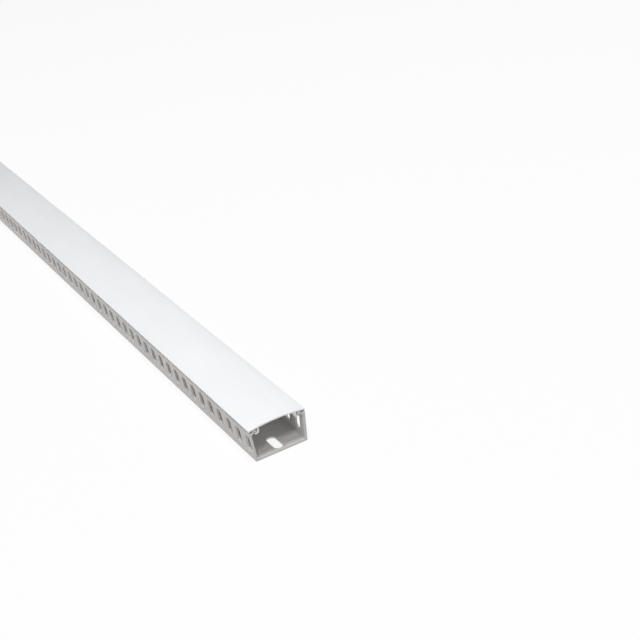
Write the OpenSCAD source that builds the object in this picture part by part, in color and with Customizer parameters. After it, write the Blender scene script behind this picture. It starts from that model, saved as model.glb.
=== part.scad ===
// Slotted wire duct: a slotted channel base with a crowned clip-on cover.
// Length runs along X, width along Y. The origin is under the middle of the floor.

/* [Duct] */
// Length of the duct and its cover
duct_length = 1000; // [300:100:2000]
// Outside width across the floor
floor_width = 40; // [38:1:80]
// Height of the cover's two side edges above the underside of the floor
edge_height = 25; // [25:1:60]
// How far each side wall leans outwards at the height of the cover's edges
wall_splay = 1.8; // [0:0.1:2.5]
// Thickness of the side walls
wall_thickness = 1.6; // [1.2:0.1:2]
// Thickness of the floor
floor_thickness = 1.6; // [1.2:0.1:2]

/* [Wire slots] */
// Distance from one wire slot to the next
slot_pitch = 15; // [12:0.5:25]
// Width of a wire slot
slot_width = 7; // [4:0.1:8]
// Height of the lower ends of the slots above the underside of the floor
slot_bottom = 5.6; // [3:0.1:8]
// Height of the upper ends of the slots
slot_top = 19.4; // [16:0.1:20]
// Distance from the cut end to the first slot of the left wall
left_start = 1.9; // [1:0.1:6]
// Distance from the cut end to the first slot of the right wall
right_start = 6.2; // [1:0.1:8]

/* [Fixing slots] */
// Distance from one fixing slot in the floor to the next
fixing_pitch = 60; // [30:5:120]
// Length of a fixing slot
fixing_length = 17.5; // [10:0.5:25]
// Width of a fixing slot
fixing_width = 7; // [4:0.1:8]
// Distance from the cut end to the middle of the first fixing slot
fixing_start = 10.8; // [10.8:0.1:30]

/* [Cover and snap lips] */
// Thickness of the cover
cover_thickness = 1.2; // [1:0.1:1.6]
// How far the middle of the cover stands above its edges
cover_crown = 2; // [1:0.1:3]
// Thickness of the lips along the tops of the walls
lip_thickness = 1.1; // [0.8:0.1:1.2]
// Thickness of the cover's snap legs
leg_thickness = 1; // [0.8:0.1:1]

/* [Hidden] */
$fn = 32;

// Centre lines of the snap fit, as [inwards, upwards] from the cover's edge
lip_line = [[0.85, -2.6], [2.1, -3.7], [4.4, -1.45], [6.1, -2.4]];
leg_line = [[7.4, 0.5], [7.4, -3.3], [4.7, -4.1]];

floor_half = floor_width / 2;
cover_half = floor_half + wall_splay;
wall_lean = wall_splay / edge_height;
crown_radius = (cover_half ^ 2 + cover_crown ^ 2) / (2 * cover_crown);
crown_centre = edge_height + cover_crown - crown_radius;
// Small overshoot that keeps cuts clear of the faces they pass
past = 1;

// Turns [inwards, upwards] into a point on the right of the cross-section
function at_edge(p) = [cover_half - p[0], edge_height + p[1]];

// Unit vector across the way from one point to the next
function across(a, b) = [a[1] - b[1], b[0] - a[0]] / norm(b - a);

// Half the thickness of a strip at one of its points, mitred at a bend
function mitre(line, i, half) =
    let (last = len(line) - 1,
         before = across(line[max(i - 1, 0)], line[max(i, 1)]),
         after = across(line[min(i, last - 1)], line[min(i + 1, last)]))
    (before + after) * half / (1 + before * after);

// A bent strip of even thickness that follows a centre line
module strip(line, thickness) {
    points = [0 : len(line) - 1];
    one_face = [for (i = points) line[i] + mitre(line, i, thickness / 2)];
    other_face = [for (i = points) line[i] - mitre(line, i, thickness / 2)];
    last = len(line) - 1;
    polygon(concat(one_face, [for (i = points) other_face[last - i]]));
}

// Makes a shape on the right wall's side and again on the left wall's side
module both_sides() {
    children();
    mirror([0, 1, 0])
        children();
}

// A slot with round ends, its long side along the second axis
module obround(width, length) {
    straight = length - width;
    square([width, straight], center = true);
    for (end = [-1, 1])
        translate([0, end * straight / 2])
            circle(d = width);
}

// Extrudes a cross-section along the whole duct
module along_duct() {
    rotate([90, 0, 90])
        linear_extrude(duct_length, center = true)
            children();
}

// Cross-section of the right wall, from the underside up to where its lip starts
module wall_section() {
    top = edge_height + lip_line[0][1] + lip_thickness / 2;
    top_outside = floor_half + wall_lean * top;
    polygon([[floor_half, 0], [top_outside, top],
             [top_outside - wall_thickness, top], [floor_half - wall_thickness, 0]]);
}

// The channel as extruded: a floor and two leaning walls with inward lips
module extruded_channel() {
    floor_reach = floor_half - wall_thickness / 2;
    along_duct()
        translate([-floor_reach, 0])
            square([2 * floor_reach, floor_thickness]);
    both_sides() {
        along_duct()
            wall_section();
        along_duct()
            strip([for (p = lip_line) at_edge(p)], lip_thickness);
    }
}

// Cuts the row of wire slots through the wall on one side
module wire_slots(side, start) {
    first = duct_length / 2 - start - slot_width / 2;
    last = -duct_length / 2 + past + slot_width / 2;
    for (x = [first : -slot_pitch : last])
        translate([x, side * cover_half, (slot_bottom + slot_top) / 2])
            rotate([90, 0, 0])
                linear_extrude(6 * wall_thickness, center = true)
                    obround(slot_width, slot_top - slot_bottom);
}

// Cuts the row of fixing slots through the floor
module fixing_slots() {
    first = duct_length / 2 - fixing_start;
    last = -duct_length / 2 + past + fixing_length / 2;
    for (x = [first : -fixing_pitch : last])
        translate([x, 0, 0])
            rotate(90)
                linear_extrude(4 * floor_thickness, center = true)
                    obround(fixing_width, fixing_length);
}

// The channel with the slots punched in its walls and floor
module channel_base() {
    color("gainsboro")
        difference() {
            extruded_channel();
            wire_slots(-1, left_start);
            wire_slots(1, right_start);
            fixing_slots();
        }
}

// Cross-section of the cover's crowned top, without its legs
module crown_section() {
    intersection() {
        translate([0, crown_centre])
            difference() {
                circle(crown_radius, $fn = 720);
                circle(crown_radius - cover_thickness, $fn = 720);
            }
        translate([-cover_half, edge_height - cover_thickness - past])
            square([2 * cover_half, cover_thickness + cover_crown + 2 * past]);
    }
}

// The extruded cover, whose hooked legs grip under the lips of the base
module snap_cover() {
    color("whitesmoke") {
        along_duct()
            crown_section();
        both_sides()
            along_duct()
                strip([for (p = leg_line) at_edge(p)], leg_thickness);
    }
}

channel_base();
snap_cover();
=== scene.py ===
"""Looks of the slotted wire duct: a punched PVC base and its clip-on cover on a pale studio floor.

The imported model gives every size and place.  Each extruded part is dressed as a copy of its
solid with softened edges, and gets a procedural PVC finish.
"""
import logging
import math
from dataclasses import dataclass, field
from enum import Enum

import bpy
from mathutils import Matrix, Vector


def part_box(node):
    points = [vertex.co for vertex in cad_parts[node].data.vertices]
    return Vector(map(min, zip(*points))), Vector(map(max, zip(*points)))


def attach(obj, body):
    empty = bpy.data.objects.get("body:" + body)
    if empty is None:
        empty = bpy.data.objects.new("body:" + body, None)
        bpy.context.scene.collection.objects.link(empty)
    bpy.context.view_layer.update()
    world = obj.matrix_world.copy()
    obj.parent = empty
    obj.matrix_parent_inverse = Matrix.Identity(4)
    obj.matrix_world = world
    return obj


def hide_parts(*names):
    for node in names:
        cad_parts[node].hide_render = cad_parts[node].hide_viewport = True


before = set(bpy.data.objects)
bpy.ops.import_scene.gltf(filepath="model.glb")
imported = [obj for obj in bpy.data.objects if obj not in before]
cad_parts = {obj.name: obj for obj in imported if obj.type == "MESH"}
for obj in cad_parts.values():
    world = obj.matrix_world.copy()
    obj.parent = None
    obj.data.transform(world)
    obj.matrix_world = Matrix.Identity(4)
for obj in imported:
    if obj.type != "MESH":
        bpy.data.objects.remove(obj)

LOG = logging.getLogger("wire_duct")
MM = 0.001
WHITE = (1.0, 1.0, 1.0)
# Height in the cut end that the camera and the lights are aimed at
AIM_HEIGHT = 12.0 * MM

Colour = tuple[float, float, float]
Span = tuple[float, float]
Socket = bpy.types.NodeSocket


class Grain(Enum):
    """How much finer a pattern is along the duct, across it and upwards."""

    DIE_LINES = (0.6, 42.0, 42.0)
    SAW_MARKS = (6.0, 2.2, 60.0)
    PATCHES = (1.0, 2.5, 2.5)
    WAVES = (1.0, 3.0, 3.0)


@dataclass(frozen=True)
class Pattern:
    """A noise pattern on a part, and what its values are turned into."""

    grain: Grain
    scale: float
    detail: float
    roughness: float = 0.5
    source: Span = (0.0, 1.0)
    target: Span = (0.0, 1.0)


def deselect_all() -> None:
    """Leave object mode with nothing selected."""
    if bpy.context.object and bpy.context.object.mode != "OBJECT":
        bpy.ops.object.mode_set(mode="OBJECT")
    bpy.ops.object.select_all(action="DESELECT")


def make_active(piece: bpy.types.Object) -> None:
    """Select one object alone and make it the active one.

    Args:
        piece: the object that the next operators act on.
    """
    deselect_all()
    piece.select_set(True)
    bpy.context.view_layer.objects.active = piece


def way_to(azimuth: float, elevation: float) -> Vector:
    """Find the direction from the cut end to something that looks at it.

    Args:
        azimuth: degrees from the duct's length towards the left wall's side.
        elevation: degrees above the floor.

    Returns:
        The direction, of length one.
    """
    turn, rise = math.radians(azimuth), math.radians(elevation)
    return Vector((math.cos(turn) * math.cos(rise), -math.sin(turn) * math.cos(rise),
                   math.sin(rise)))


class NodePainter:
    """Short calls for laying out the nodes of one material."""

    def __init__(self, name: str) -> None:
        """Start an empty material.

        Args:
            name: the material's name.
        """
        self.material = bpy.data.materials.new(name)
        self.material.use_nodes = True
        self.tree = self.material.node_tree
        self.shader = self.tree.nodes["Principled BSDF"]
        self.output = self.tree.nodes["Material Output"]
        self.place = self.add("ShaderNodeTexCoord").outputs["Object"]

    def add(self, kind: str, **settings: object) -> bpy.types.Node:
        """Add a node.

        Args:
            kind: Blender's node type.
            **settings: values for the node's own properties.

        Returns:
            The new node.
        """
        node = self.tree.nodes.new(kind)
        for key, value in settings.items():
            setattr(node, key, value)
        return node

    def join(self, source: Socket, target: Socket) -> None:
        """Link two nodes.

        Args:
            source: an output.
            target: the input that it goes to.
        """
        self.tree.links.new(source, target)

    def noise(self, pattern: Pattern) -> Socket:
        """Lay a noise pattern on object coordinates.

        Args:
            pattern: the pattern, of which only the noise itself is used.

        Returns:
            The noise value's output.
        """
        mapping = self.add("ShaderNodeMapping")
        mapping.inputs["Scale"].default_value = pattern.grain.value
        self.join(self.place, mapping.inputs["Vector"])
        texture = self.add("ShaderNodeTexNoise")
        texture.inputs["Scale"].default_value = pattern.scale
        texture.inputs["Detail"].default_value = pattern.detail
        texture.inputs["Roughness"].default_value = pattern.roughness
        self.join(mapping.outputs["Vector"], texture.inputs["Vector"])
        return texture.outputs["Fac"]

    def spread(self, value: Socket, source: Span, target: Span) -> Socket:
        """Map a value from one range to another, held at its ends.

        Args:
            value: the output to map.
            source: lowest and highest value in.
            target: what they become.

        Returns:
            The mapped value's output.
        """
        node = self.add("ShaderNodeMapRange")
        for name, number in zip(("From Min", "From Max", "To Min", "To Max"), source + target):
            node.inputs[name].default_value = number
        self.join(value, node.inputs["Value"])
        return node.outputs["Result"]

    def spread_noise(self, pattern: Pattern) -> Socket:
        """Lay a noise pattern and turn its values into the pattern's target range.

        Args:
            pattern: the pattern with its ranges.

        Returns:
            The mapped value's output.
        """
        return self.spread(self.noise(pattern), pattern.source, pattern.target)

    def parts(self, vector: Socket) -> bpy.types.NodeOutputs:
        """Take a vector apart.

        Args:
            vector: the vector's output.

        Returns:
            Outputs named X, Y and Z.
        """
        node = self.add("ShaderNodeSeparateXYZ")
        self.join(vector, node.inputs["Vector"])
        return node.outputs

    def facing(self) -> bpy.types.NodeOutputs:
        """Tell which way a face looks.

        Returns:
            Outputs named X, Y and Z, of the face's own normal.
        """
        return self.parts(self.add("ShaderNodeNewGeometry").outputs["True Normal"])

    def blend(self, factor: Socket, first: Colour | Socket, second: Colour | Socket) -> Socket:
        """Mix two colours.

        Args:
            factor: how much of the second shows.
            first: a colour, or an output that gives one.
            second: a colour, or an output that gives one.

        Returns:
            The mixed colour's output.
        """
        node = self.add("ShaderNodeMix", data_type="RGBA")
        self.join(factor, node.inputs["Factor"])
        colour_inputs = [socket for socket in node.inputs if socket.type == "RGBA"]
        for socket, colour in zip(colour_inputs, (first, second)):
            if isinstance(colour, Socket):
                self.join(colour, socket)
            else:
                socket.default_value = (*colour, 1.0)
        return next(socket for socket in node.outputs if socket.type == "RGBA")

    def combine(self, operation: str, first: Socket, second: Socket | float) -> Socket:
        """Do sums on one value with another value or a number.

        Args:
            operation: Blender's name of the sum.
            first: the first value's output.
            second: the second value's output, or a number.

        Returns:
            The result's output.
        """
        node = self.add("ShaderNodeMath", operation=operation)
        self.join(first, node.inputs[0])
        if isinstance(second, Socket):
            self.join(second, node.inputs[1])
        else:
            node.inputs[1].default_value = second
        return node.outputs[0]

    def emboss(self, height: Socket, depth: float, strength: float,
               under: Socket | None = None) -> Socket:
        """Turn a height into a bump.

        Args:
            height: the height's output.
            depth: how deep a height of one is, in metres.
            strength: how strongly it shows.
            under: the normal of a bump that lies beneath, if any.

        Returns:
            The bumped normal's output.
        """
        node = self.add("ShaderNodeBump")
        node.inputs["Distance"].default_value = depth
        node.inputs["Strength"].default_value = strength
        self.join(height, node.inputs["Height"])
        if under is not None:
            self.join(under, node.inputs["Normal"])
        return node.outputs["Normal"]


@dataclass(frozen=True)
class ExtrudedPvc:
    """Rigid extruded PVC: die lines along its length, saw marks on its cut ends."""

    name: str
    colour: Colour
    stain: Colour
    # Colour of the sawn ends: partly their own duller tone, partly painted shade that holds back
    # the extra light falling on them
    cut_colour_and_shade: Colour
    gloss_roughness: float
    # Near-white painted highlight on the upward-facing lower ends of the slots, standing in for
    # light that the cover keeps off them
    slot_highlight_colour: Colour | None = None
    slot_highlight_heights: Span = (4.6 * MM, 9.6 * MM)
    slot_highlight_facing: Span = (0.3, 0.6)
    cut_facing: Span = (0.985, 0.999)
    streak_shade: float = 0.96
    cut_roughness: float = 0.72
    refraction: float = 1.53
    wave_depth: float = 0.18 * MM
    wave_strength: float = 0.25
    line_depth: float = 0.02 * MM
    line_strength: float = 0.5
    saw_depth: float = 0.05 * MM
    saw_strength: float = 0.8
    patches: Pattern = Pattern(Grain.PATCHES, 14.0, 4.0, 0.5, (0.35, 0.7), (0.0, 0.55))
    streaks: Pattern = Pattern(Grain.DIE_LINES, 30.0, 5.0, 0.65, (0.42, 0.72), (0.0, 0.5))
    dull_streaks: Pattern = Pattern(Grain.DIE_LINES, 55.0, 3.0, 0.5, (0.3, 0.7), (-0.05, 0.08))
    rubs: Pattern = Pattern(Grain.WAVES, 22.0, 5.0, 0.5, (0.4, 0.75), (-0.02, 0.1))
    waves: Pattern = Pattern(Grain.WAVES, 9.0, 2.0)
    lines: Pattern = Pattern(Grain.DIE_LINES, 34.0, 4.0, 0.6)
    saw_marks: Pattern = Pattern(Grain.SAW_MARKS, 60.0, 4.0, 0.7)

    def build(self) -> bpy.types.Material:
        """Lay out the finish.

        Returns:
            The material.
        """
        paint = NodePainter(self.name)
        cut = self._cut_mask(paint)
        self._colour(paint, cut)
        self._roughness(paint, cut)
        self._relief(paint, cut)
        paint.shader.inputs["IOR"].default_value = self.refraction
        return paint.material

    def _cut_mask(self, paint: NodePainter) -> Socket:
        """Find the faces that look along the duct, which are the sawn ends.

        Args:
            paint: the material's nodes.

        Returns:
            One on the sawn ends and nought elsewhere.
        """
        along = paint.combine("ABSOLUTE", paint.facing()["X"], 0.0)
        return paint.spread(along, self.cut_facing, (0.0, 1.0))

    def _slot_highlight_mask(self, paint: NodePainter) -> Socket:
        """Find the upward-facing lower ends of the punched wire slots, which get a painted
        highlight.

        Args:
            paint: the material's nodes.

        Returns:
            One on the lower ends of the slots and nought elsewhere.
        """
        upward = paint.spread(paint.facing()["Z"], self.slot_highlight_facing, (0.0, 1.0))
        height = paint.parts(paint.place)["Z"]
        lowest, highest = self.slot_highlight_heights
        above = paint.combine("GREATER_THAN", height, lowest)
        below = paint.combine("LESS_THAN", height, highest)
        return paint.combine("MULTIPLY", paint.combine("MULTIPLY", above, below), upward)

    def _colour(self, paint: NodePainter, cut: Socket) -> None:
        """Lay uneven pigment, fine streaks along the duct, the colour of the cuts with some
        painted shade, and a painted highlight on the slots' lower ends.

        Args:
            paint: the material's nodes.
            cut: one on the sawn ends and nought elsewhere.
        """
        body = paint.blend(paint.spread_noise(self.patches), self.colour, self.stain)
        dark_streak = tuple(self.streak_shade * part for part in self.stain)
        lined = paint.blend(paint.spread_noise(self.streaks), body, dark_streak)
        # Sawn ends take their own tone with some painted shade
        whole = paint.blend(cut, lined, self.cut_colour_and_shade)
        if self.slot_highlight_colour is not None:
            # Painted highlight on the upward-facing lower ends of the slots
            whole = paint.blend(self._slot_highlight_mask(paint), whole, self.slot_highlight_colour)
        paint.join(whole, paint.shader.inputs["Base Color"])

    def _roughness(self, paint: NodePainter, cut: Socket) -> None:
        """Make a satin skin with duller streaks and rubbed patches, and dull sawn ends.

        Args:
            paint: the material's nodes.
            cut: one on the sawn ends and nought elsewhere.
        """
        marks = paint.combine("ADD", paint.spread_noise(self.dull_streaks),
                              paint.spread_noise(self.rubs))
        skin = paint.combine("ADD", marks, self.gloss_roughness)
        dull = paint.combine("MULTIPLY", cut, self.cut_roughness - self.gloss_roughness)
        paint.join(paint.combine("ADD", skin, dull), paint.shader.inputs["Roughness"])

    def _relief(self, paint: NodePainter, cut: Socket) -> None:
        """Raise die lines on the skin, slight waves in the walls, and saw marks on the ends.

        Args:
            paint: the material's nodes.
            cut: one on the sawn ends and nought elsewhere.
        """
        skin = paint.spread(cut, (0.0, 1.0), (1.0, 0.0))
        lines = paint.combine("MULTIPLY", paint.noise(self.lines), skin)
        saw = paint.combine("MULTIPLY", paint.noise(self.saw_marks), cut)
        normal = paint.emboss(paint.noise(self.waves), self.wave_depth, self.wave_strength)
        normal = paint.emboss(lines, self.line_depth, self.line_strength, normal)
        normal = paint.emboss(saw, self.saw_depth, self.saw_strength, normal)
        paint.join(normal, paint.shader.inputs["Normal"])


@dataclass
class ExtrudedPart:
    """One extruded and cut part, dressed as a copy of its solid with softened edges."""

    node: str
    body: str
    slot: str
    piece_name: str
    finish: ExtrudedPvc
    edge_radius: float = 0.2 * MM
    edge_segments: int = 2
    edge_angle: float = math.radians(25.0)
    flat_angle: float = math.radians(0.6)
    smooth_angle: float = math.radians(35.0)
    weld_distance: float = 0.01 * MM
    piece: bpy.types.Object | None = field(default=None, repr=False)

    def build(self) -> bpy.types.Object:
        """Make, dress and place the part.

        Returns:
            The dressed piece.
        """
        self._copy_solid()
        self._weld()
        self._soften_edges()
        self._dress()
        self._mount()
        return self.piece

    def _copy_solid(self) -> None:
        """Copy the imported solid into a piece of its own."""
        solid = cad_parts[self.node]
        self.piece = bpy.data.objects.new(self.piece_name, solid.data.copy())
        bpy.context.scene.collection.objects.link(self.piece)
        self.piece.data.materials.clear()

    def _weld(self) -> None:
        """Join the loose triangles and merge those that lie in one flat face."""
        make_active(self.piece)
        bpy.ops.object.mode_set(mode="EDIT")
        bpy.ops.mesh.select_all(action="SELECT")
        bpy.ops.mesh.remove_doubles(threshold=self.weld_distance)
        bpy.ops.mesh.dissolve_limited(angle_limit=self.flat_angle)
        bpy.ops.object.mode_set(mode="OBJECT")
        if self.piece.data.has_custom_normals:
            bpy.ops.mesh.customdata_custom_splitnormals_clear()

    def _soften_edges(self) -> None:
        """Round every sharp edge a little, as extruding and punching leave it."""
        make_active(self.piece)
        bevel = self.piece.modifiers.new("soft_edges", "BEVEL")
        bevel.width = self.edge_radius
        bevel.segments = self.edge_segments
        bevel.limit_method = "ANGLE"
        bevel.angle_limit = self.edge_angle
        bevel.use_clamp_overlap = True
        bevel.harden_normals = False
        bpy.ops.object.modifier_apply(modifier=bevel.name)
        bpy.ops.object.shade_smooth_by_angle(angle=self.smooth_angle)

    def _dress(self) -> None:
        """Put the finish on the piece."""
        self.piece.data.materials.append(self.finish.build())

    def _mount(self) -> None:
        """Let the piece stand for its solid and move with its body."""
        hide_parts(self.node)
        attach(self.piece, self.body)


@dataclass
class StudioFloor:
    """A pale seamless floor that glows a little, so that shadows stay faint."""

    reach: float = 14.0
    colour: Colour = (0.93, 0.93, 0.93)
    glow: float = 1.055
    shade_share: float = 0.12

    def build(self, height: float) -> bpy.types.Object:
        """Lay the floor.

        Args:
            height: where the duct rests, in metres.

        Returns:
            The floor.
        """
        deselect_all()
        bpy.ops.mesh.primitive_plane_add(size=2.0 * self.reach, location=(0.0, 0.0, height))
        floor = bpy.context.object
        floor.name = "studio_floor"
        floor.data.materials.append(self._paper())
        return floor

    def _paper(self) -> bpy.types.Material:
        """Mix an even glow with a share of plain diffuse that takes the shadows.

        Returns:
            The floor's material.
        """
        paint = NodePainter("studio_paper")
        glow = paint.add("ShaderNodeEmission")
        glow.inputs["Color"].default_value = (*self.colour, 1.0)
        glow.inputs["Strength"].default_value = self.glow
        matt = paint.add("ShaderNodeBsdfDiffuse")
        matt.inputs["Color"].default_value = (*self.colour, 1.0)
        mix = paint.add("ShaderNodeMixShader")
        mix.inputs["Fac"].default_value = self.shade_share
        paint.join(glow.outputs["Emission"], mix.inputs[1])
        paint.join(matt.outputs["BSDF"], mix.inputs[2])
        paint.join(mix.outputs["Shader"], paint.output.inputs["Surface"])
        return paint.material


@dataclass(frozen=True)
class SoftBox:
    """One square studio light aimed at the cut end."""

    name: str
    azimuth: float
    elevation: float
    size: float
    power: float
    distance: float = 4.0

    def build(self, target: Vector) -> bpy.types.Object:
        """Hang the light.

        Args:
            target: the point it faces.

        Returns:
            The light.
        """
        back = way_to(self.azimuth, self.elevation)
        lamp = bpy.data.lights.new(self.name, "AREA")
        lamp.energy = self.power
        lamp.size = self.size
        light = bpy.data.objects.new(self.name, lamp)
        light.location = target + back * self.distance
        light.rotation_euler = back.to_track_quat("Z", "Y").to_euler()
        bpy.context.scene.collection.objects.link(light)
        return light


@dataclass(frozen=True)
class Studio:
    """Soft light from above and a pale surround."""

    surround: float = 0.12
    seen_surround: float = 0.88
    lights: tuple[SoftBox, ...] = (
        SoftBox("key", azimuth=32.0, elevation=56.0, size=0.8, power=46.0),
        SoftBox("overhead", azimuth=0.0, elevation=86.0, size=1.2, power=122.0),
    )

    def build(self, target: Vector) -> None:
        """Light the scene.

        Args:
            target: the point that the lights face.
        """
        self._surround()
        for light in self.lights:
            light.build(target)
        bpy.context.scene.view_settings.view_transform = "Standard"

    def _surround(self) -> None:
        """Make a surround that is seen nearly white but gives little light."""
        world = bpy.data.worlds.new("pale_surround")
        bpy.context.scene.world = world
        world.use_nodes = True
        tree = world.node_tree
        background = tree.nodes["Background"]
        background.inputs["Color"].default_value = (*WHITE, 1.0)
        sight = tree.nodes.new("ShaderNodeLightPath")
        strength = tree.nodes.new("ShaderNodeMapRange")
        strength.inputs["To Min"].default_value = self.surround
        strength.inputs["To Max"].default_value = self.seen_surround
        tree.links.new(sight.outputs["Is Camera Ray"], strength.inputs["Value"])
        tree.links.new(strength.outputs["Result"], background.inputs["Strength"])


@dataclass(frozen=True)
class DuctCamera:
    """The camera that looks down at the cut end from the left wall's side."""

    azimuth: float = 26.05
    elevation: float = 26.99
    roll: float = -8.7
    distance: float = 0.83664
    aside: Span = (0.02739, 0.07861)
    lens: float = 69.4558
    sensor: float = 36.0
    sight: Span = (0.01, 50.0)

    def build(self, aim: Vector) -> bpy.types.Object:
        """Set up the camera.

        Args:
            aim: a point in the middle of the cut end.

        Returns:
            The camera.
        """
        back = way_to(self.azimuth, self.elevation)
        level_right = Vector((0.0, 0.0, 1.0)).cross(back).normalized()
        level_up = back.cross(level_right)
        lean = math.radians(self.roll)
        right = level_right * math.cos(lean) + level_up * math.sin(lean)
        up = level_up * math.cos(lean) - level_right * math.sin(lean)
        data = bpy.data.cameras.new("view_camera")
        data.sensor_width = self.sensor
        data.lens = self.lens
        data.clip_start, data.clip_end = self.sight
        camera = bpy.data.objects.new("view_camera", data)
        turned = Matrix((right, up, back)).transposed()
        place = aim + back * self.distance + right * self.aside[0] + up * self.aside[1]
        camera.matrix_world = Matrix.Translation(place) @ turned.to_4x4()
        bpy.context.scene.collection.objects.link(camera)
        bpy.context.scene.camera = camera
        return camera


BASE_PVC = ExtrudedPvc(
    name="base_pvc",
    colour=(0.622, 0.607, 0.592),
    stain=(0.585, 0.567, 0.546),
    # Sawn ends darker than the skin: partly their own tone, partly painted shade
    cut_colour_and_shade=(0.56, 0.542, 0.528),
    gloss_roughness=0.42,
    # Painted highlight on the upward-facing lower ends of the wall slots
    slot_highlight_colour=(0.94, 0.935, 0.92),
)
COVER_PVC = ExtrudedPvc(
    name="cover_pvc",
    colour=(0.857, 0.866, 0.876),
    stain=(0.831, 0.839, 0.847),
    cut_colour_and_shade=(0.82, 0.815, 0.8),
    gloss_roughness=0.38,
    line_depth=0.008 * MM,
)


def main() -> None:
    """Place the camera, dress the duct and log each piece's face count, then lay the floor and
    light it.
    """
    logging.basicConfig(level=logging.INFO, format="%(message)s")
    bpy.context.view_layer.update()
    low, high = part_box("channel_base")
    cut_end = Vector((high[0], 0.0, AIM_HEIGHT))
    DuctCamera().build(cut_end)
    parts = (
        ExtrudedPart("channel_base", "base", "base_pvc", "punched_base", BASE_PVC),
        ExtrudedPart("snap_cover", "cover", "cover_pvc", "crowned_cover", COVER_PVC),
    )
    for part in parts:
        piece = part.build()
        LOG.info("%s: %d faces", piece.name, len(piece.data.polygons))
    StudioFloor().build(low[2])
    Studio().build(cut_end)


if __name__ == "__main__":
    main()
